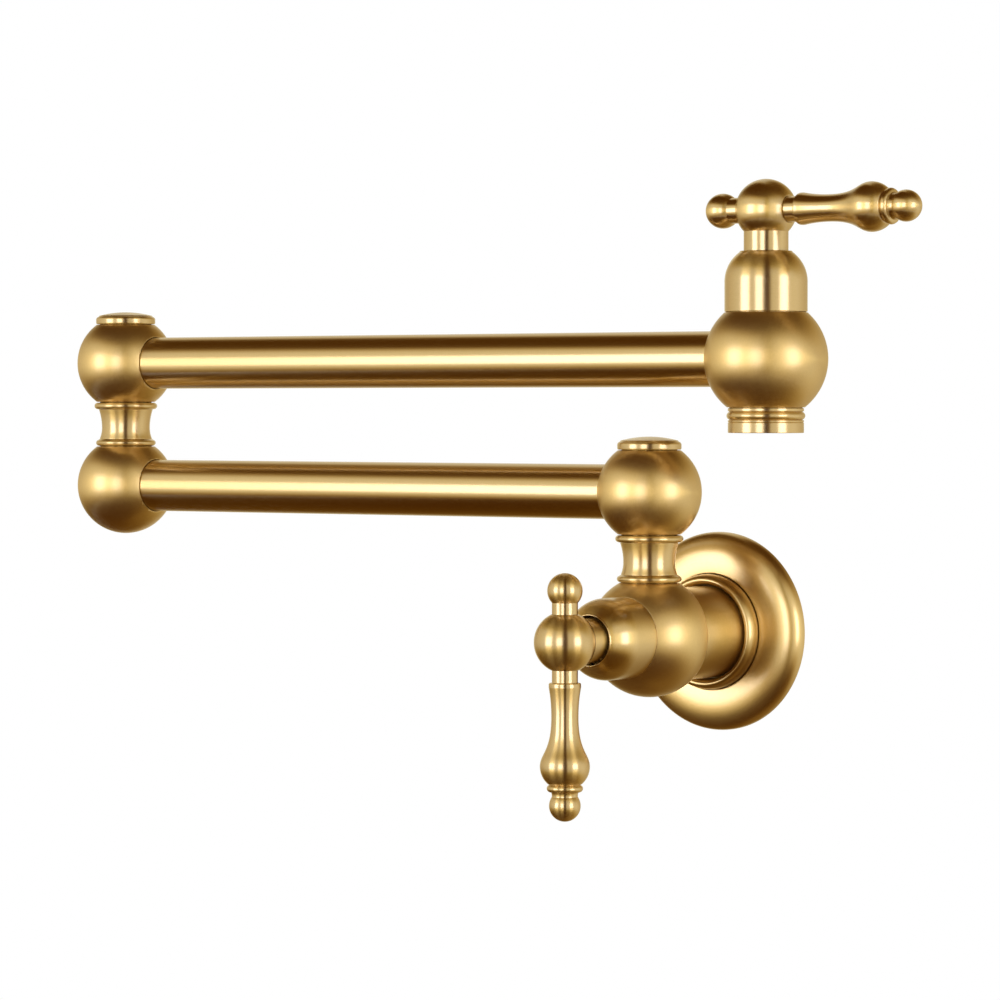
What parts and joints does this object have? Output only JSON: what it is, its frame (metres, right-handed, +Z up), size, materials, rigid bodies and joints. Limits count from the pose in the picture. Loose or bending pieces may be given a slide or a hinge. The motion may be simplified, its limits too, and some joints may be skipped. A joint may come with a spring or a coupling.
{
  "type": "wall mounted pot filler",
  "caption": "Wall mounted folding tap for filling pots: ball jointed arms, bell bonnets and lever handles in brushed gold.",
  "frame": {"origin": "centre of the flange's back, where the supply shank passes the face of the wall", "axes": "+X along the wall, to the right of a person who faces it; +Y into the wall; +Z up"},
  "size_m": [0.3823, 0.1434, 0.2271],
  "materials": {
    "gold": "brushed gold plating, satin",
    "plain_brass": "plain machined brass",
    "steel": "plain stainless steel",
    "rubber": "matt black sealing rubber",
    "nylon": "white moulded plastic",
    "ceramic": "lapped white ceramic"
  },
  "bodies": {
    "wall_body": {"valve_body": "gold", "inlet_bonnet": "gold", "wall_flange": "gold", "flange_collar": "gold", "body_sleeve": "gold", "inlet_nipple": "plain_brass", "flange_o_ring": "rubber", "inlet_cartridge_body": "plain_brass", "inlet_seat_seal": "rubber", "inlet_fixed_disc": "ceramic", "shoulder_post": "plain_brass", "shoulder_spool": "gold", "shoulder_o_ring_1": "rubber", "shoulder_o_ring_2": "rubber", "shoulder_slide_ring": "nylon", "shoulder_retaining_washer": "plain_brass", "shoulder_retaining_screw": "steel"},
    "inlet_handle": {"inlet_moving_disc": "ceramic", "inlet_stem": "plain_brass", "inlet_handle_hub": "gold", "inlet_lever": "gold", "inlet_finial": "gold", "inlet_grub_screw": "steel"},
    "lower_arm": {"shoulder_ball": "gold", "shoulder_cap": "gold", "lower_tube": "gold", "elbow_lower_ball": "gold", "elbow_post": "plain_brass", "elbow_spool": "gold", "elbow_o_ring_1": "rubber", "elbow_o_ring_2": "rubber", "elbow_slide_ring": "nylon", "elbow_retaining_washer": "plain_brass", "elbow_retaining_screw": "steel"},
    "upper_arm": {"elbow_upper_ball": "gold", "elbow_cap": "gold", "upper_tube": "gold", "outlet_ball": "gold", "outlet_bonnet": "gold", "outlet_cartridge_body": "plain_brass", "outlet_seat_seal": "rubber", "outlet_fixed_disc": "ceramic", "aerator_shell": "gold", "aerator_insert": "nylon", "aerator_washer": "rubber"},
    "outlet_handle": {"outlet_moving_disc": "ceramic", "outlet_stem": "plain_brass", "outlet_handle_hub": "gold", "outlet_lever": "gold", "outlet_finial": "gold", "outlet_grub_screw": "steel"}
  },
  "joints": [
    {"name": "shoulder_swing", "type": "hinge", "parent": "wall_body", "child": "lower_arm", "pos_m": [0, -0.0476, 0.052], "axis": [0, 0, 1], "range_deg": [0, 180]},
    {"name": "elbow_swing", "type": "hinge", "parent": "lower_arm", "child": "upper_arm", "pos_m": [-0.25, -0.0476, 0.1], "axis": [0, 0, 1], "continuous": true},
    {"name": "inlet_valve_turn", "type": "hinge", "parent": "wall_body", "child": "inlet_handle", "pos_m": [0, -0.1, 0], "axis": [0, 1, 0], "range_deg": [-90, 0]},
    {"name": "outlet_valve_turn", "type": "hinge", "parent": "upper_arm", "child": "outlet_handle", "pos_m": [0.05, -0.0476, 0.15], "axis": [0, 0, 1], "range_deg": [-90, 0]}
  ]
}
